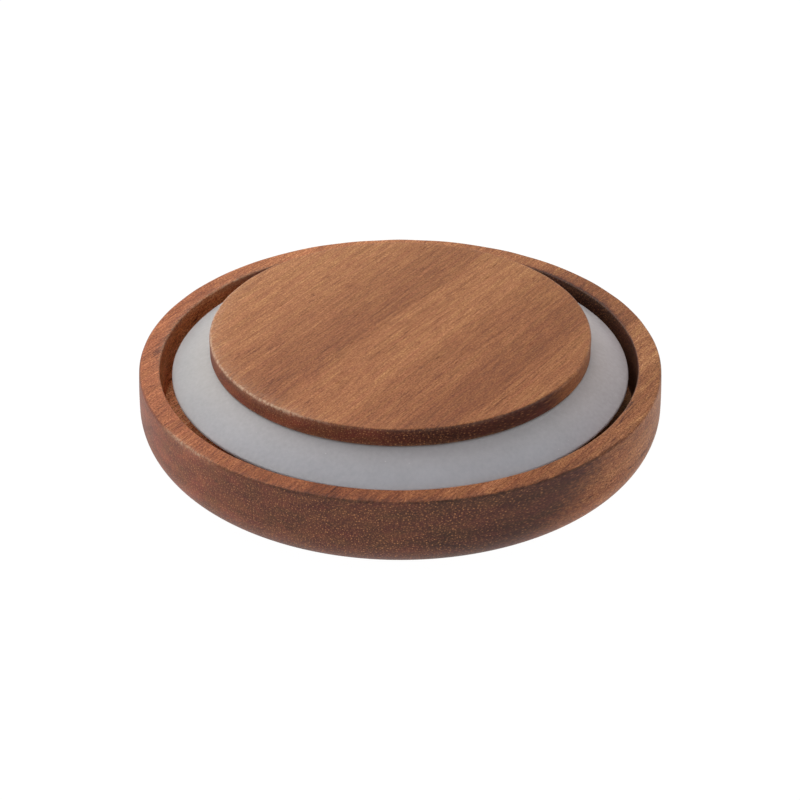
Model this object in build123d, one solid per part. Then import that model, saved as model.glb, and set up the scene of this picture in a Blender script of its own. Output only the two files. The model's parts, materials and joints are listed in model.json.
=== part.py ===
from build123d import *
import os

# Wooden lid of a glass storage jar, lying upside down on the flat outside of its top.
# Millimetres. +Z is up, the origin is the centre of the face it lies on, and every
# piece is turned about Z. Heights below are measured in this upside-down position.

# The jar that the lid closes
jar_mouth_diameter = 100.0  # outside of the glass
glass_wall = 2.4
jar_clearance = 0.4  # between the glass and the cap's rim, all round

# Cap, a shallow wooden bowl
rim_width = 4.6  # across the top of the rim
floor_thickness = 6.2
recess_depth = 11.3  # from the rim down to the floor, where the glass stops
lower_edge_radius = 9.0
wall_bulge = 0.28  # the wall is this much fatter above the rounded edge than at the rim
rim_outer_ease = 0.6
rim_inner_ease = 0.4
recess_corner_radius = 0.6

# Plug, a wooden disc with a groove turned round it
plug_inset = 7.6  # from the inside of the glass to the plug
plug_above_rim = 6.9
plug_flange_thickness = 3.9  # wood above the groove
plug_top_ease = 0.6
plug_groove_ease = 0.25
groove_height = 6.0
groove_depth = 4.5
socket_depth = 1.2  # the plug stands in a shallow socket in the cap's floor
glue_gap = 0.1  # between the plug and the socket's wall

# Seal ring, silicone, held in the groove
seal_clearance = 0.1  # to each wall of the groove
lip_squeeze = 0.6  # how much the glass presses the lip inwards, all round
lip_drop = 4.5  # the lip falls this far from the plug to its edge
lip_root_thickness = 1.8
lip_edge_thickness = 0.9
hub_corner_radius = 0.5

# Sizes and heights worked out from those above
jar_radius = jar_mouth_diameter / 2
glass_inner_radius = jar_radius - glass_wall
recess_radius = jar_radius + jar_clearance
cap_radius = recess_radius + rim_width
cap_height = floor_thickness + recess_depth
plug_radius = glass_inner_radius - plug_inset
plug_base = floor_thickness - socket_depth
plug_top = cap_height + plug_above_rim
groove_top = plug_top - plug_flange_thickness
groove_bottom = groove_top - groove_height
groove_radius = plug_radius - groove_depth
lip_radius = glass_inner_radius + lip_squeeze


def turned(section):
    """A closed half-section in the XZ plane, turned a full circle about Z."""
    return revolve(section, Axis.Z, 360)


def eased(section, corners):
    """Round the corners of a section, each given as (x, z, radius)."""
    for x, z, radius in corners:
        corner = section.vertices().sort_by_distance((x, 0, z))[0]
        section = fillet(corner, radius)
    return section


def outer_cap():
    """The bowl: flat underneath, a rounded lower edge, a slightly bulging wall, and a recess
    with a shallow socket for the plug."""
    fattest = cap_radius + wall_bulge
    edge = min(lower_edge_radius, cap_height - 2 * rim_outer_ease)
    centre = (fattest - edge, edge)
    outline = [
        Line((0, 0), (fattest - edge, 0)),
        CenterArc(centre, edge, -90, 90),
        TangentArc((fattest, edge), (cap_radius, cap_height), tangent=(0, 1)),
        Polyline(
            (cap_radius, cap_height),
            (recess_radius, cap_height),
            (recess_radius, floor_thickness),
            (plug_radius + glue_gap, floor_thickness),
            (plug_radius + glue_gap, plug_base),
            (0, plug_base),
            (0, 0),
        ),
    ]
    section = Plane.XZ * make_face(Curve() + outline)
    corners = [
        (cap_radius, cap_height, min(rim_outer_ease, 0.45 * rim_width)),
        (recess_radius, cap_height, min(rim_inner_ease, 0.45 * rim_width)),
        (recess_radius, floor_thickness, recess_corner_radius),
    ]
    return turned(eased(section, corners))


def inner_plug():
    """The disc that goes into the jar's mouth, with the seal's groove turned round its side."""
    outline = Polyline(
        (0, plug_base),
        (plug_radius, plug_base),
        (plug_radius, groove_bottom),
        (groove_radius, groove_bottom),
        (groove_radius, groove_top),
        (plug_radius, groove_top),
        (plug_radius, plug_top),
        (0, plug_top),
        (0, plug_base),
    )
    section = Plane.XZ * make_face(outline)
    corners = [
        (plug_radius, plug_top, min(plug_top_ease, 0.45 * plug_flange_thickness)),
        (plug_radius, groove_top, min(plug_groove_ease, 0.45 * plug_flange_thickness)),
        (plug_radius, groove_bottom, plug_groove_ease),
    ]
    return turned(eased(section, corners))


def seal_ring():
    """A square hub that fills the groove, and a thin cone-shaped lip that falls outwards from
    its top to the width of the glass's inside."""
    hub_inside = groove_radius + seal_clearance
    hub_top = groove_top - seal_clearance
    hub_bottom = groove_bottom + seal_clearance
    lip_height = hub_top - lip_drop
    outline = Polyline(
        (hub_inside, hub_bottom),
        (plug_radius, hub_bottom),
        (plug_radius, hub_top - lip_root_thickness),
        (lip_radius, lip_height - lip_edge_thickness),
        (lip_radius, lip_height),
        (plug_radius, hub_top),
        (hub_inside, hub_top),
        (hub_inside, hub_bottom),
    )
    section = Plane.XZ * make_face(outline)
    lip_end = 0.4 * lip_edge_thickness
    corners = [
        (lip_radius, lip_height, lip_end),
        (lip_radius, lip_height - lip_edge_thickness, lip_end),
        (plug_radius, hub_top - lip_root_thickness, hub_corner_radius),
        (plug_radius, hub_bottom, hub_corner_radius),
        (hub_inside, hub_bottom, hub_corner_radius),
        (hub_inside, hub_top, hub_corner_radius),
    ]
    return turned(eased(section, corners))


pieces = {
    "outer_cap": outer_cap(),
    "inner_plug": inner_plug(),
    "seal_ring": seal_ring(),
}

os.makedirs("parts", exist_ok=True)
for name, piece in pieces.items():
    export_step(piece, f"parts/{name}.step")
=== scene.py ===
import json
import math

import bpy
import numpy as np
from bpy.props import FloatProperty, FloatVectorProperty, IntProperty, PointerProperty
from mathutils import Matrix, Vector


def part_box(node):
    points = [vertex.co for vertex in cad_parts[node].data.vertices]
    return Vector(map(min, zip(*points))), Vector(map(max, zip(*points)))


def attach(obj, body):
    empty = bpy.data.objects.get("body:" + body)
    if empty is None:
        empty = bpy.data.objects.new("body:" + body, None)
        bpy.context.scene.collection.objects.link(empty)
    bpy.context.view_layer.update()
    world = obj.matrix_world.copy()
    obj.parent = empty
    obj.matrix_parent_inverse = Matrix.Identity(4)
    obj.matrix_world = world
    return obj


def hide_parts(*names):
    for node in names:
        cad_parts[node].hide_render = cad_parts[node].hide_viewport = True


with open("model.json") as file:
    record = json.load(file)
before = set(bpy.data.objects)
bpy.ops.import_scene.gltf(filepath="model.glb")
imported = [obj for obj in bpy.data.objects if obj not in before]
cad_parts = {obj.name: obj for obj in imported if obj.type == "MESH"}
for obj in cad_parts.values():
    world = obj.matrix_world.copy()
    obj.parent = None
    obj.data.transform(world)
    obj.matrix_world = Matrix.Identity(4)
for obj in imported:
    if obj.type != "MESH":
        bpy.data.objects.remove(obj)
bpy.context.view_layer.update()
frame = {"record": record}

bl_info = {
    "name": "Wooden jar lid",
    "version": (1, 0, 0),
    "blender": (4, 5, 0),
    "location": "3D View > Sidebar > Jar lid",
    "description": "Surfaces and finishes for a turned wooden jar lid with a silicone seal",
    "category": "Add Mesh",
}

MM = 0.001

# What the frame says about the lid, in metres. Radii are from the axis, heights from the
# face that the lid lies on.
CAP_FAT_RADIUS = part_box("outer_cap")[1].x
CAP_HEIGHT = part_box("outer_cap")[1].z
JAR_MOUTH = next(m for m in frame["record"]["mounts"] if m["name"] == "jar_mouth_wall")
RECESS_RADIUS = JAR_MOUTH["dims"]["r_mm"] * MM
FLOOR_HEIGHT = CAP_HEIGHT - JAR_MOUTH["dims"]["length_mm"] * MM
PLUG_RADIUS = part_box("inner_plug")[1].x
PLUG_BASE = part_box("inner_plug")[0].z
PLUG_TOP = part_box("inner_plug")[1].z
LIP_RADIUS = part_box("seal_ring")[1].x
HUB_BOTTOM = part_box("seal_ring")[0].z
HUB_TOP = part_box("seal_ring")[1].z

# The recess's wood grows paler from this height, over this depth: painted light, in place of
# the light that the translucent seal sheds there
PAINTED_RECESS_LIGHT_FROM = CAP_HEIGHT - 0.6 * MM
PAINTED_RECESS_LIGHT_OVER = 4.5 * MM

# Small sizes that nobody would set: the corner where the recess's wall meets its floor, the edge
# of the seal's groove, the hole left at the axis before it is closed, and how far round from +X
# the recess is pushed off the axis
RECESS_CORNER = 0.6 * MM
GROOVE_EASE = 0.25 * MM
POLE_GAP = 0.2 * MM
RECESS_TOWARDS = math.radians(193)

# The lip's edge is rounded by this share of its thickness, waves up and down by this much, and
# falls short of its full reach by up to this much
LIP_ROUNDING = 0.45
LIP_WAVES = 0.06 * MM
LIP_SHORT = 0.1 * MM

# Parts of the way round that carry a mark, each as its strength and then the azimuths, in degrees
# from +X towards +Y, at which it starts, is full, wanes and ends
RIM_WORN_OUTSIDE = [(0.5, 209, 215, 223, 230)]
RIM_WORN_INSIDE = [(0.35, 110, 135, 175, 200), (0.12, 214, 222, 232, 242), (0.14, 296, 316, 338, 350)]
RIM_DARK_OUTSIDE = [(0.85, 230, 252, 320, 336)]
RIM_DARK_INSIDE = [(0.75, 12, 28, 48, 60), (0.6, 118, 135, 175, 200)]
# In the recess, painted light is left out at the right, and painted shade darkens the back right
RECESS_WITHOUT_PAINTED_LIGHT = [(1, -2, -1, 50, 75), (1, 290, 320, 361, 362)]
RECESS_PAINTED_SHADE = [(0.2, 4, 16, 58, 66), (0.25, 14, 28, 52, 62)]
PLUG_WORN_TOP = [(0.68, 135, 165, 230, 252)]
# The plug's groove edge is painted paler, a painted highlight
PLUG_GROOVE_HIGHLIGHT = [(0.4, 180, 200, 290, 330)]

# Each board takes its grain from another place in the same wood, this far on for each seed, in
# millimetres along the grain and upwards
BOARD_SHIFT = 131.0
BOARD_LIFT = 57.0

# A board's grain climbs about this height, in millimetres
CLIMBS_ABOUT = 10

# Streaks are listed this far either side of the axis, in millimetres, and held as a share of
# this factor, because a stop's colour ends at 1
STREAKS_REACH = 55
STREAKS_SCALE = 4

# What the recess's painted light and handling multiply the wood's colour by
PAINTED_RECESS_REDDENING = (1, 0.78, 0.58, 1)
HANDLED_STAIN = (0.45, 0.38, 0.42, 1)

# The stage, in metres and watts. The view looks down on the middle of the rim from a number of
# cap radii away. The picture's sizes are in pixels, and the sensor's width in millimetres.
FLOOR_REACH = 3.0
FLOOR_PALE = 0.9
FLOOR_GLOW = 0.8
FLOOR_SEEN = 0.96
WORLD_LIGHT = 0.6
WORLD_SEEN = 1.0
WORLD_TINT = (0.985, 0.99, 1, 1)
LAMP_PLACE = (-0.22, 0.3, 0.55)
LAMP_ACROSS = 0.6
LAMP_WATTS = 3.0
LAMP_TINT = (1, 0.98, 0.955)
VIEW_DOWN = math.radians(30.13)
VIEW_RADII = 8.22
IMAGE_WIDTH = 800
IMAGE_MIDDLE = 400
RIM_MIDDLE_X = 400.3
RIM_MIDDLE_Y = 357.0
FOCAL_PIXELS = 2136.6
SENSOR_WIDTH = 36


# Sizes and colours that a user would change


class LidSizes(bpy.types.PropertyGroup):
    columns: IntProperty(
        name="Columns", description="Points round each turned surface", default=512, min=64
    )
    lower_edge: FloatProperty(
        name="Lower edge", description="Radius of the cap's rounded lower edge",
        default=9 * MM, unit="LENGTH",
    )
    wall_bulge: FloatProperty(
        name="Wall bulge", description="How much fatter the wall is low down than at the rim",
        default=0.28 * MM, unit="LENGTH",
    )
    rim_outer_ease: FloatProperty(
        name="Rim, outer edge", description="Radius that the rim's outer edge is sanded to",
        default=0.6 * MM, unit="LENGTH",
    )
    rim_inner_ease: FloatProperty(
        name="Rim, inner edge", description="Radius that the rim's inner edge is sanded to",
        default=0.4 * MM, unit="LENGTH",
    )
    recess_offset: FloatProperty(
        name="Recess offset", description="How far off the axis the recess was turned",
        default=0.3 * MM, unit="LENGTH",
    )
    plug_top_ease: FloatProperty(
        name="Plug, top edge", description="Radius that the plug's top edge is sanded to",
        default=0.6 * MM, unit="LENGTH",
    )
    groove_clearance: FloatProperty(
        name="Groove clearance", description="Between the seal's hub and the groove's walls",
        default=0.1 * MM, unit="LENGTH",
    )
    glue_gap: FloatProperty(
        name="Glue gap", description="Between the plug and the wall of its socket",
        default=0.1 * MM, unit="LENGTH",
    )
    groove_depth: FloatProperty(
        name="Groove depth", description="How deep the seal's groove is turned",
        default=4.5 * MM, unit="LENGTH",
    )
    lip_drop: FloatProperty(
        name="Lip drop", description="How far the lip falls from the plug to its edge",
        default=4.5 * MM, unit="LENGTH",
    )
    lip_root: FloatProperty(
        name="Lip root", description="Thickness of the lip where it leaves the hub",
        default=1.8 * MM, unit="LENGTH",
    )
    lip_edge: FloatProperty(
        name="Lip edge", description="Thickness of the lip at its edge",
        default=0.9 * MM, unit="LENGTH",
    )


class LidFinish(bpy.types.PropertyGroup):
    grain_angle: FloatProperty(
        name="Grain angle", description="Direction of the grain, from +X towards +Y",
        default=math.radians(56), subtype="ANGLE",
    )
    plug_wood: FloatVectorProperty(
        name="Plug wood", description="Middle colour of the plug, cut lengthwise",
        default=(0.3, 0.1105, 0.0385), subtype="COLOR",
    )
    cap_wood: FloatVectorProperty(
        name="Cap wood", description="Middle colour of the cap, cut lengthwise",
        default=(0.3, 0.1, 0.035), subtype="COLOR",
    )
    plug_end_grain: FloatVectorProperty(
        name="Plug end grain", description="Colour of the plug where its fibres are cut across",
        default=(0.105, 0.027, 0.014), subtype="COLOR",
    )
    cap_end_grain: FloatVectorProperty(
        name="Cap end grain", description="Colour of the cap where its fibres are cut across",
        default=(0.084, 0.0285, 0.0175), subtype="COLOR",
    )
    pore: FloatVectorProperty(
        name="Pores", description="Colour of the filled pores in the end grain",
        default=(0.5, 0.215, 0.085), subtype="COLOR",
    )
    # Also the colour of the painted highlight along the plug's groove edge
    pale_edge_colour: FloatVectorProperty(
        name="Worn edge", description="Colour of the wood along an edge that is rubbed bare",
        default=(0.66, 0.46, 0.31), subtype="COLOR",
    )
    silicone: FloatVectorProperty(
        name="Silicone", description="Colour of the translucent seal",
        default=(0.378, 0.382, 0.4), subtype="COLOR",
    )


# Surfaces


def round_axis(columns):
    """The azimuth of each column, in radians from +X towards +Y."""
    return 2 * math.pi * np.arange(columns) / columns


def ripple(azimuth, lowest, highest, seed):
    """An uneven closed wave round the axis, about -1 to 1: a sum of cosines of whole numbers of
    turns from lowest to highest, with seeded phases."""
    turns = np.arange(lowest, highest + 1)
    phases = np.random.default_rng(seed).uniform(0, 2 * math.pi, len(turns))
    waves = np.cos(np.outer(turns, azimuth) + phases[:, None])
    return waves.sum(0) / math.sqrt(len(turns))


def stretches(azimuth, parts):
    """How strong a mark is round the axis: the sum of its parts. Each rises in a straight line
    from where it starts to its strength, stays, and falls again to 0 where it ends."""
    around = np.degrees(azimuth)
    return sum(strength * np.interp(around, corners, (0, 1, 1, 0)) for strength, *corners in parts)


def edge_mark(count, edge, width, aside=0):
    """A mark along an edge, which is given as its first row and the one past its last. It is 1 on
    the edge's middle row, or that many rows aside, and falls off as a bell of that width in rows."""
    middle = (edge[0] + edge[1]) / 2 + aside
    return np.exp(-(((np.arange(count)[:, None] - middle) / width) ** 2))


def uneven(ease, azimuth, amount, least, seed):
    """The radius of a sanded edge round the axis: its ease with a ripple of that amount, and never
    less than that share of it."""
    rippled = ease * (1 + amount * ripple(azimuth, lowest=2, highest=40, seed=seed))
    return np.clip(rippled, least * ease, None)


def straight(start, end, steps):
    """Points from start towards end, leaving out the end. Each coordinate is one number or one
    per column."""
    t = np.arange(steps)[:, None] / steps
    r = np.asarray(start[0]) * (1 - t) + np.asarray(end[0]) * t
    z = np.asarray(start[1]) * (1 - t) + np.asarray(end[1]) * t
    return r, z


def arc(centre, radius, first, last, steps):
    """Points on a circle about centre from the angle first towards last, in degrees from +r
    towards +z, leaving out the end."""
    angle = np.radians(first + (last - first) * np.arange(steps)[:, None] / steps)
    return centre[0] + radius * np.cos(angle), centre[1] + radius * np.sin(angle)


def outline(columns, runs):
    """Joins named runs of points into two arrays, radius and height, with a row for each point of
    the half-section and a column for each azimuth. Also gives each run's first row and the row
    past its last."""
    r = np.vstack([np.broadcast_to(run[0], (len(run[0]), columns)) for run in runs.values()])
    z = np.vstack([np.broadcast_to(run[1], (len(run[1]), columns)) for run in runs.values()])
    ends = np.cumsum([len(run[0]) for run in runs.values()])
    rows = {name: (end - len(run[0]), end) for (name, run), end in zip(runs.items(), ends)}
    return r, z, rows


def turned(name, r, z, closed, marks=()):
    """Surface turned about Z. Row i, column j lies at radius r[i, j] and height z[i, j], at
    azimuth 2 pi j / columns. A closed section's last row joins its first; an open one ends in a
    point on the axis at each end. Marks are attributes, given as (name, value per row and
    column), which the finish reads."""
    rows, columns = r.shape
    azimuth = round_axis(columns)
    grid = np.stack([r * np.cos(azimuth), r * np.sin(azimuth), z], axis=-1).reshape(-1, 3)
    i = np.arange(rows if closed else rows - 1)[:, None]
    j = np.arange(columns)[None, :]
    above, beside = (i + 1) % rows, (j + 1) % columns
    corners = (i * columns + j, i * columns + beside, above * columns + beside, above * columns + j)
    quads = np.stack(np.broadcast_arrays(*corners), axis=-1).reshape(-1, 4)
    faces = quads.tolist()
    if not closed:
        poles = np.array([[0, 0, z[0].mean()], [0, 0, z[-1].mean()]])
        low, high = len(grid), len(grid) + 1
        around = np.arange(columns)
        after = (around + 1) % columns
        last = (rows - 1) * columns
        faces += np.stack([np.full(columns, low), after, around], -1).tolist()
        faces += np.stack([np.full(columns, high), last + around, last + after], -1).tolist()
        grid = np.vstack([grid, poles])
    mesh = bpy.data.meshes.new(name)
    mesh.from_pydata(grid, [], faces)
    mesh.polygons.foreach_set("use_smooth", np.ones(len(faces), bool))
    for mark, share in marks:
        values = np.zeros(len(grid), np.float32)
        values[: r.size] = np.broadcast_to(share, r.shape).ravel()
        mesh.attributes.new(mark, "FLOAT", "POINT").data.foreach_set("value", values)
    mesh.validate()
    mesh.update()
    made = bpy.data.objects.new(name, mesh)
    bpy.context.scene.collection.objects.link(made)
    return made


# Materials


class Finish:
    """A material whose nodes are added one at a time."""

    def __init__(self, name):
        self.material = bpy.data.materials.new(name)
        self.material.use_nodes = True
        self.tree = self.material.node_tree
        self.shader = self.tree.nodes["Principled BSDF"]

    def put(self, socket, value):
        """Sets a socket to a plain value, or links another socket to it."""
        if isinstance(value, bpy.types.NodeSocket):
            self.tree.links.new(value, socket)
        else:
            socket.default_value = value

    def add(self, kind, inputs, **settings):
        """A new node, with these inputs and settings."""
        made = self.tree.nodes.new(kind)
        for key, value in settings.items():
            setattr(made, key, value)
        for key, value in inputs.items():
            self.put(made.inputs[key], value)
        return made

    def math(self, operation, *values):
        """The result of one step of arithmetic."""
        return self.add("ShaderNodeMath", dict(enumerate(values)), operation=operation).outputs[0]

    def vector(self, operation, *values):
        """The number that one step of arithmetic on vectors gives."""
        made = self.add("ShaderNodeVectorMath", dict(enumerate(values)), operation=operation)
        return made.outputs["Value"]

    def linear(self, value, slope, start):
        """The value times the slope, plus the start."""
        return self.math("MULTIPLY_ADD", value, slope, start)

    def times(self, *values):
        """All the values multiplied."""
        product = values[0]
        for value in values[1:]:
            product = self.math("MULTIPLY", product, value)
        return product

    def between(self, value, low, high):
        """0 below low, 1 above high, and smooth in between."""
        inputs = {"Value": value, "From Min": low, "From Max": high}
        made = self.add("ShaderNodeMapRange", inputs, interpolation_type="SMOOTHSTEP")
        return made.outputs["Result"]

    def below(self, value, low, high):
        """1 below low, 0 above high, and smooth in between."""
        return self.math("SUBTRACT", 1.0, self.between(value, low, high))

    def swing(self, pattern, amount, about=1.0):
        """A pattern of 0 to 1 as a number that swings by half the amount either side of about."""
        return self.linear(self.math("SUBTRACT", pattern, 0.5), amount, about)

    def mix(self, share, first, second, how="MIX"):
        """The first colour, and as far as the share says the second."""
        inputs = {0: share, 6: first, 7: second}
        return self.add("ShaderNodeMix", inputs, data_type="RGBA", blend_type=how).outputs[2]

    def stained(self, share, colour, stain):
        """The colour, and as far as the share says the colour multiplied by the stain."""
        return self.mix(share, colour, stain, "MULTIPLY")

    def toned(self, colour, level, green=1.4, blue=1.7, blush=1.0, lean=1.0):
        """The colour at a brightness level. Green and blue follow the level to a power: above 1 a
        darker tone is redder, below 1 a lighter one is. Blush scales green alone, and lean scales
        green and blue."""
        level = self.math("MAXIMUM", level, 0.02)
        greener = self.times(self.math("POWER", level, green), blush, lean)
        bluer = self.times(self.math("POWER", level, blue), self.math("POWER", lean, 1.2))
        tone = self.add("ShaderNodeCombineColor", {0: level, 1: greener, 2: bluer}).outputs[0]
        return self.stained(1.0, rgba(colour), tone)

    def ramp(self, value, stops):
        """Colours by the value, eased from each stop to the next. A stop is a place from 0 to 1
        and a colour."""
        made = self.add("ShaderNodeValToRGB", {"Fac": value})
        band = made.color_ramp
        band.interpolation = "EASE"
        for _ in stops[2:]:
            band.elements.new(1.0)
        for stop, (place, colour) in zip(band.elements, stops):
            stop.position = place
            stop.color = rgba(colour)
        return made.outputs["Color"]

    def stretched(self, place, along, across, upward=None):
        """The place divided by a length along the grain and one across it, in millimetres."""
        scale = (1 / along, 1 / across, 1 / (upward or across))
        return self.add("ShaderNodeMapping", {"Vector": place, "Scale": scale}).outputs[0]

    def noise(self, place, detail=2.0, roughness=0.5, distortion=0.0):
        """A noise of about 0 to 1, with one swell to each unit of the place."""
        inputs = {
            "Vector": place, "Scale": 1.0, "Detail": detail,
            "Roughness": roughness, "Distortion": distortion,
        }
        return self.add("ShaderNodeTexNoise", inputs).outputs["Fac"]

    def cells(self, place, dimensions="3D"):
        """Distance to the middle of the nearest cell, and three random numbers of that cell."""
        inputs = {"Vector": place, "Scale": 1.0}
        made = self.add("ShaderNodeTexVoronoi", inputs, voronoi_dimensions=dimensions)
        chance = self.add("ShaderNodeSeparateColor", {"Color": made.outputs["Color"]}).outputs
        return made.outputs["Distance"], chance

    def mark(self, name):
        """A mark of the piece's surface, from its attribute."""
        return self.add("ShaderNodeAttribute", {}, attribute_name=name).outputs["Fac"]


def rgba(colour):
    """The colour with an opacity of 1."""
    return (*colour, 1)


def tint(colour, factor):
    """The colour times a factor, none of it above 1."""
    return tuple(min(1.0, channel * factor) for channel in colour)


class Board(Finish):
    """Oiled wood as a solid pattern, in millimetres along the grain, across it and upwards. The
    seed moves the pattern, so that no two boards are alike."""

    def __init__(self, name, look, grain):
        super().__init__(name)
        self.look, self.grain = look, grain
        self.shift, self.lift = grain["seed"] * BOARD_SHIFT, grain["seed"] * BOARD_LIFT
        coordinates = self.add("ShaderNodeTexCoord", {})
        turn = {
            "Vector": coordinates.outputs["Object"],
            "Rotation": (0, 0, -look.grain_angle),
            "Scale": (1 / MM,) * 3,
            "Location": (self.shift, 0, self.lift),
        }
        self.place = self.add("ShaderNodeMapping", turn).outputs[0]
        axes = self.add("ShaderNodeSeparateXYZ", {"Vector": self.place}).outputs
        self.along, self.up = axes["X"], axes["Z"]
        # The grain sways a little across the board
        sway = self.noise(self.stretched(self.place, 60, 17))
        self.across = self.math("ADD", self.swing(sway, 2.2, 0.0), axes["Y"])
        swayed = {"X": self.along, "Y": self.across, "Z": self.up}
        self.bent = self.add("ShaderNodeCombineXYZ", swayed).outputs[0]

        # How far the surface is from level: 0 on the flats, 1 on the upright walls
        self.normal = coordinates.outputs["Normal"]
        level = self.add("ShaderNodeSeparateXYZ", {"Vector": self.normal}).outputs["Z"]
        upright = self.math("MAXIMUM", self.math("SUBTRACT", 1.0, self.times(level, level)), 0.0001)
        self.sideways = self.math("SQRT", upright)

        self.fibres = self.drawn(2.6, 0.3, roughness=0.6)
        self.grit = self.drawn(0.5, 0.28, 1.0, 0.6)
        self.mottle = self.drawn(2.2, 0.45, roughness=0.6)
        self.dark_pores = self.tubes()
        # Painted light in the recess, and painted shade where the mark is below 0
        self.painted_recess_light_and_shade = self.mark("painted_recess_light_and_shade")

    def drawn(self, along, across, detail=2.0, roughness=0.5, distortion=0.0, upward=None):
        """A noise drawn out along the grain, its swells of these lengths in millimetres."""
        place = self.stretched(self.bent, along, across, upward)
        return self.noise(place, detail, roughness, distortion)

    def tubes(self):
        """Dark pores: tubes along the grain, in groups."""
        distance, chance = self.cells(self.stretched(self.bent, 5.0, 0.8))
        groups = self.between(self.drawn(15, 6), 0.48, 0.62)
        return self.times(self.below(distance, 0.08, 0.24), self.between(chance[0], 0.3, 0.95), groups)

    def cracks(self):
        """Long thin lines, where one noise is at its middle and a slower one is high."""
        off_middle = self.math("SUBTRACT", self.drawn(22, 1.3, roughness=0.45), 0.5)
        line = self.below(self.math("ABSOLUTE", off_middle), 0.003, 0.022)
        return self.times(line, self.between(self.drawn(16, 5), 0.5, 0.62))

    def streaks_and_shading(self, factors):
        """Brightness of the streaks along the board, from factors across it. The factors hold painted
        light and shade as well as the wood's own streaks.
        """
        stops = [
            ((y + STREAKS_REACH) / (2 * STREAKS_REACH), (factor / STREAKS_SCALE,) * 3)
            for y, factor in factors
        ]
        share = self.linear(self.across, 1 / (2 * STREAKS_REACH), 0.5)
        return self.times(self.ramp(share, stops), float(STREAKS_SCALE))

    def long_level(self):
        """Brightness of the lengthwise cuts: streaks, which hold painted light and shade too, fibres and
        grit, darker in cracks and pores. Turned walls are darker than the sanded flats. The recess is
        painted paler with depth, as light from the translucent seal, and darker at the back right, as
        painted shade."""
        grain, drift_and_painted_light = self.grain, self.grain["drift_and_painted_light"]
        layers = (
            (self.drawn(75, 3.2), grain["figure"]),
            (self.drawn(18, 0.7, 3.0, 0.6), 0.65),
            (self.drawn(7.0, 0.5, roughness=0.6), 0.75),
            (self.fibres, 0.85 * grain["fine"]),
            (self.grit, 1.35 * grain["fine"]),
        )
        level = self.streaks_and_shading(grain["streaks_and_shading"])
        for pattern, amount in layers:
            level = self.times(level, self.swing(pattern, amount))
        return self.times(
            level,
            # Brighter along the grain towards the back: partly the wood's own change, partly painted light
            self.linear(self.along, drift_and_painted_light, 1 - self.shift * drift_and_painted_light),
            self.linear(self.cracks(), -grain["cracks"], 1.0),
            self.linear(self.dark_pores, -0.5, 1.0),
            self.linear(self.between(self.sideways, 0.3, 0.9), -0.14, 1.0),
            # Painted light in the recess: paler with depth, and darker at the back right as painted shade
            self.linear(self.painted_recess_light_and_shade, 1.5, 1.0),
        )

    def long_colour(self, base):
        """Colour of the lengthwise cuts, a little greener along and across in one direction. Below the
        rim the recess is painted redder, as light from the translucent seal, less so deeper in."""
        along_lean, across_lean = self.grain["lean"]
        lean = self.linear(self.along, along_lean, 1 - self.shift * along_lean)
        lean = self.linear(self.across, across_lean, lean)
        blush = self.swing(self.drawn(11, 0.9), 0.3)
        colour = self.toned(base, self.long_level(), blush=blush, lean=lean)
        # Painted light: the recess is redder below the rim, less so deeper in
        painted_reddening = self.math("MAXIMUM", self.math("MINIMUM", self.times(self.painted_recess_light_and_shade, 4.0), 1.0), 0.0)
        painted_reddening = self.times(painted_reddening, self.linear(self.painted_recess_light_and_shade, -0.7, 1.0))
        return self.stained(painted_reddening, colour, PAINTED_RECESS_REDDENING)

    def facing(self):
        """How squarely the surface faces along the grain, about -1 to 1, and a little less for
        each millimetre up, as the grain climbs."""
        axis = (math.cos(self.look.grain_angle), math.sin(self.look.grain_angle), 0)
        squarely = self.math("DIVIDE", self.vector("DOT_PRODUCT", self.normal, axis), self.sideways)
        squarely = self.math("ADD", squarely, self.swing(self.mottle, 0.25, 0.0))
        climb = self.grain["climb"]
        at_middle = self.math("ADD", squarely, (self.lift + CLIMBS_ABOUT) * climb)
        return self.linear(self.up, -climb, at_middle)

    def end_colour(self, base, facing):
        """Colour of the cuts across the fibres: streaks, which hold painted light and shade too, slow
        bands, a fine mottle, and light pores large and small, clearest where the near end is cut
        squarely. In the recess it is darker at the back right, as painted shade."""
        rings = self.drawn(60, 7, 3.0, 0.55, distortion=0.5, upward=3.0)
        specks = self.drawn(0.8, 0.22, 1.0)
        level = self.times(
            self.streaks_and_shading(self.grain["end_streaks_and_shading"]),
            self.swing(rings, 1.5),
            self.swing(self.mottle, 0.9),
            self.swing(specks, 1.0),
            # Painted shade: darker at the back right of the recess
            self.linear(self.math("MINIMUM", self.painted_recess_light_and_shade, 0.0), 0.95, 1.0),
        )
        rust = self.swing(self.drawn(40, 5, upward=2.2), 0.7)
        colour = self.toned(base, level, *self.grain["end_powers"], rust)
        clear = self.linear(self.below(facing, -0.9, -0.4), 0.6, 0.4)
        face = self.add("ShaderNodeCombineXYZ", {"X": self.across, "Y": self.up, "Z": 0.0}).outputs[0]
        for size, low, high, strongest in ((0.68, 0.05, 0.25, 0.75), (0.4, 0.1, 0.4, 0.3)):
            distance, chance = self.cells(self.stretched(face, size, size), "2D")
            pore = self.times(self.below(distance, low, high), chance[1], strongest, clear)
            colour = self.mix(pore, colour, rgba(self.look.pore))
        return colour

    def cut(self, facing):
        """1 where the surface cuts across the fibres, 0 where it runs along them. An eased edge
        still looks lengthwise at first, and so does the recess where it is painted paler, as light from
        the seal."""
        near_end = self.below(facing, self.grain["end_from"], self.grain["end_to"])
        ends = self.math("MAXIMUM", near_end, self.between(facing, 0.6, 0.85))
        upright = self.math("ADD", self.sideways, self.swing(self.mottle, 0.5, 0.0))
        return self.times(ends, self.between(upright, 0.3, 0.75), self.linear(self.painted_recess_light_and_shade, -0.8, 1.0))

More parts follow.
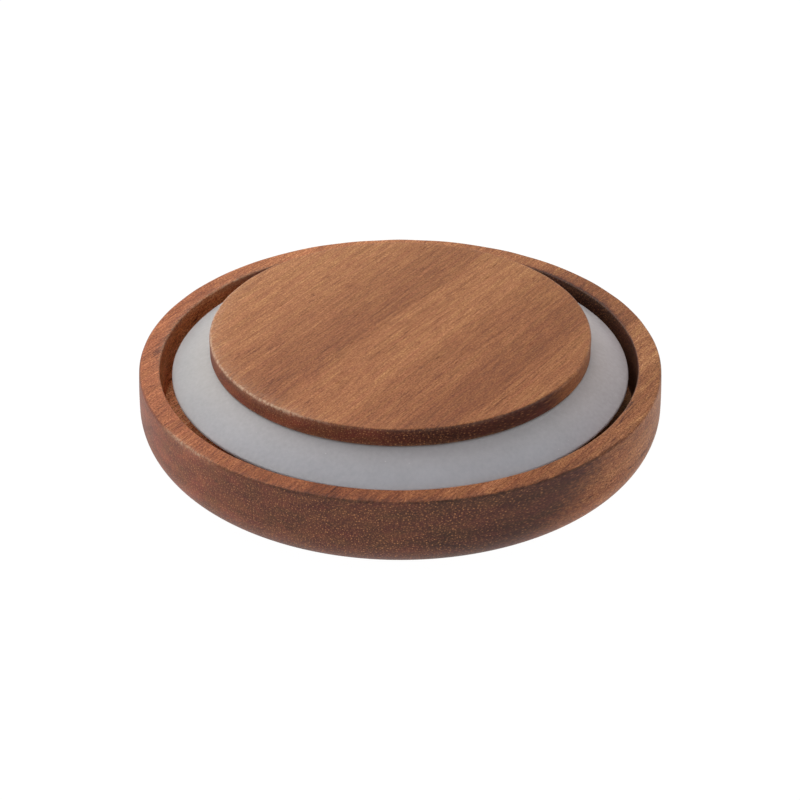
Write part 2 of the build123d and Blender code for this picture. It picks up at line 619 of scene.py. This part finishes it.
    def handled_and_pale_edges(self, colour):
        """The colour darkened in blotches where hands have been, and pale in a broken line along the
        marked edges: where an edge is rubbed bare, and along the plug's groove edge, as a painted
        highlight."""
        blotches = self.between(self.noise(self.stretched(self.place, 3.0, 1.5), 3.0, 0.6), 0.3, 0.6)
        colour = self.stained(self.times(self.mark("bruised"), blotches), colour, HANDLED_STAIN)
        breaks = self.between(self.noise(self.stretched(self.place, 1.1, 0.6), 3.0, 0.7), 0.38, 0.62)
        # Pale line: wear on rubbed edges, and a painted highlight on the plug's groove edge
        bare = self.times(self.mark("pale_edge"), self.linear(breaks, 0.75, 0.25))
        return self.mix(bare, colour, rgba(self.look.pale_edge_colour))


def wood(name, base, end_base, look, grain):
    """The finish of one turned piece of wood. Lengthwise cuts show streaks, which hold painted light
    and shade too, fibres and dark pores, and cuts across the fibres are dark, with small light
    pores. The oil's sheen is duller in the pores, and fibres and pores stand in relief."""
    board = Board(name, look, grain)
    facing = board.facing()
    cut = board.cut(facing)
    colour = board.mix(cut, board.long_colour(base), board.end_colour(end_base, facing))
    shader = board.shader.inputs
    board.put(shader["Base Color"], board.handled_and_pale_edges(colour))
    dull = board.linear(board.fibres, 0.25, 0.38)
    board.put(shader["Roughness"], board.linear(board.dark_pores, 0.2, dull))
    board.put(shader["Specular IOR Level"], 0.15)

    height = board.linear(board.fibres, 0.5, board.times(board.grit, 0.5))
    height = board.linear(board.dark_pores, -0.8, height)
    height = board.math("ADD", height, board.times(board.mottle, cut, 0.6))
    relief = board.add("ShaderNodeBump", {"Height": height, "Strength": 0.4, "Distance": 0.08 * MM})
    board.put(shader["Normal"], relief.outputs[0])
    return board.material


def translucent_silicone(look):
    """Milky silicone with a satin skin, a slow cloudiness and a few dust specks. Light and shade
    are painted on by place: it is pinker and darker towards the right, darker towards the left,
    warmer away from the front, and a little pinker towards the plug and bluer towards the lip's edge."""
    f = Finish("milky_silicone")
    place = f.add("ShaderNodeTexCoord", {}).outputs["Object"]
    place = f.add("ShaderNodeMapping", {"Vector": place, "Scale": (1 / MM,) * 3}).outputs[0]
    axes = f.add("ShaderNodeSeparateXYZ", {"Vector": place}).outputs
    cloud = f.noise(f.stretched(place, 14, 14), 3.0, 0.6)
    colour = f.ramp(cloud, [(0.3, tint(look.silicone, 0.95)), (0.7, tint(look.silicone, 1.05))])
    flat = f.add("ShaderNodeCombineXYZ", {"X": axes["X"], "Y": axes["Y"]}).outputs[0]
    # Painted light: a little pinker towards the plug and bluer towards the lip's edge
    outwards = f.between(f.vector("LENGTH", flat), 40.5, 47)
    painted_radial_tint = f.mix(outwards, (1.04, 0.985, 0.985, 1), (0.985, 0.99, 1.05, 1))
    colour = f.stained(1.0, colour, painted_radial_tint)
    # Painted light and shade: lighter and warmer away from the front, pinker and darker towards the right,
    # darker towards the left
    colour = f.stained(f.between(axes["Y"], -42, -5), colour, (1.07, 1.065, 0.97, 1))
    colour = f.stained(f.between(axes["X"], 24, 50), colour, (0.81, 0.67, 0.675, 1))
    colour = f.stained(f.below(axes["X"], -32, 0), colour, (0.885, 0.885, 0.885, 1))
    milk = f.noise(f.stretched(place, 0.9, 0.9), 2.0, 0.6)
    colour = f.mix(f.times(milk, 0.35), colour, (0.66, 0.66, 0.67, 1))
    distance, chance = f.cells(f.stretched(place, 2.4, 2.4))
    dust = f.times(f.below(distance, 0.035, 0.075), f.between(chance[2], 0.4, 0.95), 0.32)
    colour = f.mix(dust, colour, (0.85, 0.85, 0.83, 1))
    shader = f.shader.inputs
    f.put(shader["Base Color"], colour)
    f.put(shader["Roughness"], f.linear(cloud, 0.12, 0.36))
    shader["IOR"].default_value = 1.41
    f.shader.subsurface_method = "RANDOM_WALK"
    shader["Subsurface Weight"].default_value = 0.6
    shader["Subsurface Radius"].default_value = (1.0, 1.0, 1.0)
    shader["Subsurface Scale"].default_value = 6 * MM
    skin = f.noise(f.stretched(place, 0.6, 0.6), 2.0, 0.6)
    relief = f.add("ShaderNodeBump", {"Height": skin, "Strength": 0.12, "Distance": 0.05 * MM})
    f.put(shader["Normal"], relief.outputs[0])
    return f.material


# Brightness of the wood across the grain, as (millimetres from the axis, factor). The factors
# hold painted light and shade as well as the wood's own streaks.
PLUG_STREAKS_AND_SHADING = [
    (-40, 0.95), (-33, 0.94), (-28, 0.73), (-24, 0.78), (-20, 0.92), (-13, 0.95), (-9.5, 1.14),
    (-4, 1.08), (1, 1.11), (4.5, 0.87), (9, 0.87), (17, 0.99), (26, 1.14), (36, 1.22),
]
CAP_STREAKS_AND_SHADING = [
    (-52, 0.92), (-47, 0.95), (-42, 1.09), (-36, 0.94), (-30, 0.75), (-24, 0.78), (-17, 0.69),
    (-10, 0.91), (0, 0.96), (12, 1.06), (22, 1.15), (34, 1.28), (42, 1.3), (52, 1.2),
]
PLUG_END_STREAKS_AND_SHADING = [
    (-40, 0.58), (-32, 0.55), (-23, 0.62), (-17, 1.3), (-10, 1.15), (4, 1.8), (16, 1.9), (32, 1.9),
]
CAP_END_STREAKS_AND_SHADING = [
    (-53, 0.76), (-45, 0.74), (-38, 0.78), (-30, 1.0), (-22, 0.97), (-13, 1.14), (-4, 1.24),
    (6, 1.55), (15, 2.15), (24, 2.25), (40, 2.3),
]
# Figure is how strong the narrow bands are, fine how strong the fibres and the grit, and cracks
# how dark the long thin lines. Drift is how much brighter per millimetre along the grain, partly
# the wood's own change and partly painted light, brighter towards the back, and lean how much
# greener along and across it. End powers are how green and blue follow the brightness of the end
# grain. The fibres are cut across where the surface faces less along the grain than end_to, and
# wholly so below end_from, later by climb for each millimetre up.
PLUG_GRAIN = {
    "seed": 0, "streaks_and_shading": PLUG_STREAKS_AND_SHADING, "end_streaks_and_shading": PLUG_END_STREAKS_AND_SHADING,
    "figure": 0.26, "fine": 1.1, "cracks": 0.4, "drift_and_painted_light": 0.0, "lean": (0.0012, 0.0),
    "end_powers": (1.0, 0.85), "end_from": -0.2, "end_to": 0.1, "climb": 0.0,
}
CAP_GRAIN = {
    "seed": 1, "streaks_and_shading": CAP_STREAKS_AND_SHADING, "end_streaks_and_shading": CAP_END_STREAKS_AND_SHADING,
    "figure": 0.75, "fine": 1.6, "cracks": 0.65, "drift_and_painted_light": 0.0008, "lean": (0.0018, -0.0022),
    "end_powers": (0.8, 0.6), "end_from": -0.45, "end_to": -0.08, "climb": 0.018,
}


# Pieces


def cap_marks(azimuth, z, rows):
    """The cap's marks. The rim's edges are rubbed bare in places and dark from hands in others.
    The deeper the recess, the paler its wood is painted, as light from the translucent seal, except
    at the right. Below 0 the mark is painted shade, at the back right."""
    count = len(z)
    outer, inner = rows["rim_outer_edge"], rows["rim_inner_edge"]
    pale_edge = edge_mark(count, outer, 3.5) * (0.05 + stretches(azimuth, RIM_WORN_OUTSIDE))
    pale_edge = pale_edge + edge_mark(count, inner, 4) * (0.04 + stretches(azimuth, RIM_WORN_INSIDE))
    bruised = edge_mark(count, outer, 5.5, aside=2) * (0.1 + stretches(azimuth, RIM_DARK_OUTSIDE))
    back = edge_mark(count, inner, 4.5, aside=-3) * (0.1 + stretches(azimuth, RIM_DARK_INSIDE))
    # Painted light in the recess, paler deeper down and left out at the right; painted shade at the back
    # right
    depth = np.clip((PAINTED_RECESS_LIGHT_FROM - z) / PAINTED_RECESS_LIGHT_OVER, 0, 1)
    painted_recess_light_and_shade = depth * (1 - stretches(azimuth, RECESS_WITHOUT_PAINTED_LIGHT)) - stretches(azimuth, RECESS_PAINTED_SHADE)
    row = np.arange(count)[:, None]
    in_recess = (row >= inner[0]) & (row < rows["recess_floor"][1])
    return (("pale_edge", pale_edge), ("bruised", bruised + back), ("painted_recess_light_and_shade", np.where(in_recess, painted_recess_light_and_shade, 0)))


class LID_OT_outer_cap(bpy.types.Operator):
    """Make the outer cap: a wooden bowl with a rounded lower edge and a sanded rim"""

    bl_idname = "lid.outer_cap"
    bl_label = "Outer cap"

    def execute(self, context):
        sizes, look = context.scene.lid_sizes, context.scene.lid_finish
        azimuth = round_axis(sizes.columns)
        outer = uneven(sizes.rim_outer_ease, azimuth, amount=0.12, least=0.3, seed=1)
        inner = uneven(sizes.rim_inner_ease, azimuth, amount=0.12, least=0.4, seed=2)
        rim = CAP_FAT_RADIUS - sizes.wall_bulge - outer
        # The recess is a little off the axis, towards the left of the front view
        recess = RECESS_RADIUS + sizes.recess_offset * np.cos(azimuth - RECESS_TOWARDS)
        corner, edge = RECESS_CORNER, sizes.lower_edge
        socket = PLUG_RADIUS + sizes.glue_gap
        base = CAP_FAT_RADIUS - edge
        # The wall above the rounded edge is an arc that starts upright and leans in by the bulge
        rise = CAP_HEIGHT - outer - edge
        wall_radius = (rise**2 + sizes.wall_bulge**2) / (2 * sizes.wall_bulge)
        steps = 16
        up = np.arange(steps)[:, None] / steps * rise
        leant_in = wall_radius - np.sqrt(wall_radius**2 - up**2)
        r, z, rows = outline(sizes.columns, {
            "base": straight((POLE_GAP, 0), (base, 0), 24),
            "lower_edge": arc((base, edge), edge, -90, 0, 28),
            "wall": (CAP_FAT_RADIUS - leant_in, edge + up),
            "rim_outer_edge": arc((rim, CAP_HEIGHT - outer), outer, 0, 90, 9),
            "rim": straight((rim, CAP_HEIGHT), (recess + inner, CAP_HEIGHT), 8),
            "rim_inner_edge": arc((recess + inner, CAP_HEIGHT - inner), inner, 90, 180, 9),
            "recess_wall": straight((recess, CAP_HEIGHT - inner), (recess, FLOOR_HEIGHT + corner), 10),
            "recess_corner": arc((recess - corner, FLOOR_HEIGHT + corner), corner, 0, -90, 6),
            "recess_floor": straight((recess - corner, FLOOR_HEIGHT), (socket, FLOOR_HEIGHT), 8),
            "socket_wall": straight((socket, FLOOR_HEIGHT), (socket, PLUG_BASE), 2),
            "socket_floor": straight((socket, PLUG_BASE), (POLE_GAP, PLUG_BASE), 10),
        })
        lid_cap = turned("lid_cap", r, z, closed=False, marks=cap_marks(azimuth, z, rows))
        finish = wood("cap_wood", look.cap_wood, look.cap_end_grain, look, CAP_GRAIN)
        lid_cap.data.materials.append(finish)
        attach(lid_cap, "lid")
        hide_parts("outer_cap")
        return {"FINISHED"}


class LID_OT_inner_plug(bpy.types.Operator):
    """Make the inner plug: a wooden disc with the seal's groove turned round it"""

    bl_idname = "lid.inner_plug"
    bl_label = "Inner plug"

    def execute(self, context):
        sizes, look = context.scene.lid_sizes, context.scene.lid_finish
        azimuth = round_axis(sizes.columns)
        ease = uneven(sizes.plug_top_ease, azimuth, amount=0.15, least=0.3, seed=3)
        face = PLUG_RADIUS - ease
        top, low = HUB_TOP + sizes.groove_clearance, HUB_BOTTOM - sizes.groove_clearance
        neck, small = PLUG_RADIUS - sizes.groove_depth, GROOVE_EASE
        r, z, rows = outline(sizes.columns, {
            "base": straight((POLE_GAP, PLUG_BASE), (PLUG_RADIUS, PLUG_BASE), 6),
            "foot": straight((PLUG_RADIUS, PLUG_BASE), (PLUG_RADIUS, low), 6),
            "groove_bottom": straight((PLUG_RADIUS, low), (neck, low), 3),
            "neck": straight((neck, low), (neck, top), 3),
            "groove_top": straight((neck, top), (PLUG_RADIUS - small, top), 3),
            "groove_edge": arc((PLUG_RADIUS - small, top + small), small, -90, 0, 6),
            "flange": straight((PLUG_RADIUS, top + small), (PLUG_RADIUS, PLUG_TOP - ease), 8),
            "top_edge": arc((face, PLUG_TOP - ease), ease, 0, 90, 12),
            "face": straight((face, PLUG_TOP), (POLE_GAP, PLUG_TOP), 40),
        })
        # The top edge is rubbed bare at the left and the front left. The groove's edge is a little paler
        # at the left and the front, a painted highlight
        pale_edge = edge_mark(len(r), rows["top_edge"], 5) * (0.08 + stretches(azimuth, PLUG_WORN_TOP))
        # Painted highlight along the groove's edge
        below = edge_mark(len(r), rows["groove_edge"], 2.5) * (0.08 + stretches(azimuth, PLUG_GROOVE_HIGHLIGHT))
        plug = turned("lid_plug", r, z, closed=False, marks=(("pale_edge", pale_edge + below),))
        finish = wood("plug_wood", look.plug_wood, look.plug_end_grain, look, PLUG_GRAIN)
        plug.data.materials.append(finish)
        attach(plug, "lid")
        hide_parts("inner_plug")
        return {"FINISHED"}


class LID_OT_seal_ring(bpy.types.Operator):
    """Make the silicone seal: a hub in the groove and a thin lip that falls outwards"""

    bl_idname = "lid.seal_ring"
    bl_label = "Seal ring"

    def execute(self, context):
        sizes, look = context.scene.lid_sizes, context.scene.lid_finish
        azimuth = round_axis(sizes.columns)
        hub = PLUG_RADIUS - sizes.groove_depth + sizes.groove_clearance
        # The lip's edge is rounded, and a little uneven in height and reach
        end = LIP_ROUNDING * sizes.lip_edge
        waves = ripple(azimuth, lowest=2, highest=7, seed=4)
        lip_height = HUB_TOP - sizes.lip_drop + LIP_WAVES * waves
        falls_short = np.abs(ripple(azimuth, lowest=2, highest=6, seed=5)).clip(0, 1)
        lip_radius = LIP_RADIUS - LIP_SHORT * falls_short
        top_start, top_end = (PLUG_RADIUS, HUB_TOP), (lip_radius - end, lip_height)
        under_start = (lip_radius - end, lip_height - sizes.lip_edge)
        under_end = (PLUG_RADIUS, HUB_TOP - sizes.lip_root)
        edge_middle = (lip_radius - end, lip_height - sizes.lip_edge / 2)
        r, z, _ = outline(sizes.columns, {
            "hub_bottom": straight((hub, HUB_BOTTOM), (PLUG_RADIUS, HUB_BOTTOM), 4),
            "hub_side": straight((PLUG_RADIUS, HUB_BOTTOM), under_end, 5),
            "lip_underside": straight(under_end, under_start, 16),
            "lip_edge": arc(edge_middle, end, -90, 90, 10),
            "lip_top": straight(top_end, top_start, 24),
            "hub_top": straight(top_start, (hub, HUB_TOP), 4),
            "hub_bore": straight((hub, HUB_TOP), (hub, HUB_BOTTOM), 4),
        })
        seal = turned("silicone_seal", r, z, closed=True)
        seal.data.materials.append(translucent_silicone(look))
        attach(seal, "seal")
        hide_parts("seal_ring")
        return {"FINISHED"}


# Stage


def white_rays(tree):
    """1 for the rays that show the white backdrop: the camera's, and those that a gloss or a
    clear piece sends on."""
    path = tree.nodes.new("ShaderNodeLightPath").outputs
    total = path["Is Camera Ray"]
    for kind in ("Is Glossy Ray", "Is Transmission Ray"):
        either = tree.nodes.new("ShaderNodeMath")
        either.operation = "MAXIMUM"
        tree.links.new(total, either.inputs[0])
        tree.links.new(path[kind], either.inputs[1])
        total = either.outputs[0]
    return total


def white_floor(scene):
    """A square floor at height 0. It glows a little, as a light table does, and lights the lid
    from below, and it looks white to the rays that show the backdrop."""
    reach = FLOOR_REACH
    corners = [(-reach, -reach, 0), (reach, -reach, 0), (reach, reach, 0), (-reach, reach, 0)]
    mesh = bpy.data.meshes.new("floor")
    mesh.from_pydata(corners, [], [(0, 1, 2, 3)])
    floor = bpy.data.objects.new("floor", mesh)
    scene.collection.objects.link(floor)
    f = Finish("white_floor")
    f.put(f.shader.inputs["Base Color"], rgba((FLOOR_PALE,) * 3))
    f.put(f.shader.inputs["Roughness"], 0.9)
    f.put(f.shader.inputs["Emission Color"], (1, 1, 1, 1))
    f.put(f.shader.inputs["Emission Strength"], FLOOR_GLOW)
    white = f.add("ShaderNodeEmission", {"Color": (1, 1, 1, 1), "Strength": 1.0})
    seen = f.times(white_rays(f.tree), FLOOR_SEEN)
    blend = f.add("ShaderNodeMixShader", {0: seen, 1: f.shader.outputs[0], 2: white.outputs[0]})
    f.put(f.tree.nodes["Material Output"].inputs["Surface"], blend.outputs[0])
    mesh.materials.append(f.material)


def light_all_round(scene):
    """A world that lights the lid softly and looks white to the rays that show the backdrop."""
    world = bpy.data.worlds.new("studio")
    scene.world = world
    world.use_nodes = True
    tree = world.node_tree
    back = tree.nodes["Background"]
    strength = tree.nodes.new("ShaderNodeMapRange")
    strength.inputs["To Min"].default_value = WORLD_LIGHT
    strength.inputs["To Max"].default_value = WORLD_SEEN
    tree.links.new(white_rays(tree), strength.inputs["Value"])
    tree.links.new(strength.outputs[0], back.inputs["Strength"])
    back.inputs["Color"].default_value = WORLD_TINT


def soft_lamp(scene):
    """A round lamp behind the lid at the left, which points at the middle of the rim."""
    data = bpy.data.lights.new("key_lamp", "AREA")
    data.shape = "DISK"
    data.size = LAMP_ACROSS
    data.energy = LAMP_WATTS
    data.color = LAMP_TINT
    lamp = bpy.data.objects.new("key_lamp", data)
    lamp.location = LAMP_PLACE
    towards = Vector((0, 0, CAP_HEIGHT)) - Vector(LAMP_PLACE)
    lamp.rotation_euler = towards.to_track_quat("-Z", "Y").to_euler()
    scene.collection.objects.link(lamp)


def front_camera(scene):
    """A camera in front of the lid. Its tilt and pan put the middle of the rim at its place in
    the picture: each is the arc tangent of pixels off the middle over the focal length."""
    away = VIEW_RADII * (CAP_FAT_RADIUS - scene.lid_sizes.wall_bulge)
    tilt = VIEW_DOWN + math.atan((IMAGE_MIDDLE - RIM_MIDDLE_Y) / FOCAL_PIXELS)
    pan = math.atan((IMAGE_MIDDLE - RIM_MIDDLE_X) / FOCAL_PIXELS)
    data = bpy.data.cameras.new("camera")
    data.sensor_width = SENSOR_WIDTH
    data.lens = SENSOR_WIDTH * FOCAL_PIXELS / IMAGE_WIDTH
    camera = bpy.data.objects.new("camera", data)
    camera.location = (0, -away * math.cos(VIEW_DOWN), CAP_HEIGHT + away * math.sin(VIEW_DOWN))
    camera.rotation_euler = (math.pi / 2 - tilt, 0, -pan)
    scene.collection.objects.link(camera)
    scene.camera = camera


class LID_OT_stage(bpy.types.Operator):
    """Make the pale floor, the light all round, the soft lamp and the camera"""

    bl_idname = "lid.stage"
    bl_label = "Stage"

    def execute(self, context):
        scene = context.scene
        scene.view_settings.view_transform = "Standard"
        white_floor(scene)
        light_all_round(scene)
        soft_lamp(scene)
        front_camera(scene)
        return {"FINISHED"}


class LID_PT_panel(bpy.types.Panel):
    """Lists the lid's sizes, finishes and pieces"""

    bl_idname = "LID_PT_panel"
    bl_label = "Jar lid"
    bl_space_type = "VIEW_3D"
    bl_region_type = "UI"
    bl_category = "Jar lid"

    def draw(self, context):
        for group in (context.scene.lid_sizes, context.scene.lid_finish):
            for name in type(group).__annotations__:
                self.layout.prop(group, name)
        for operator in OPERATORS:
            self.layout.operator(operator.bl_idname)


OPERATORS = (LID_OT_stage, LID_OT_outer_cap, LID_OT_inner_plug, LID_OT_seal_ring)
CLASSES = (LidSizes, LidFinish, *OPERATORS, LID_PT_panel)


def register():
    """Adds the classes, and the lid's sizes and finish to the scene."""
    for cls in CLASSES:
        bpy.utils.register_class(cls)
    bpy.types.Scene.lid_sizes = PointerProperty(type=LidSizes)
    bpy.types.Scene.lid_finish = PointerProperty(type=LidFinish)


def unregister():
    """Takes away what register adds."""
    del bpy.types.Scene.lid_finish
    del bpy.types.Scene.lid_sizes
    for cls in reversed(CLASSES):
        bpy.utils.unregister_class(cls)


def main():
    """Makes the stage and the pieces."""
    register()
    bpy.ops.lid.stage()
    bpy.ops.lid.outer_cap()
    bpy.ops.lid.inner_plug()
    bpy.ops.lid.seal_ring()


if __name__ == "__main__":
    main()
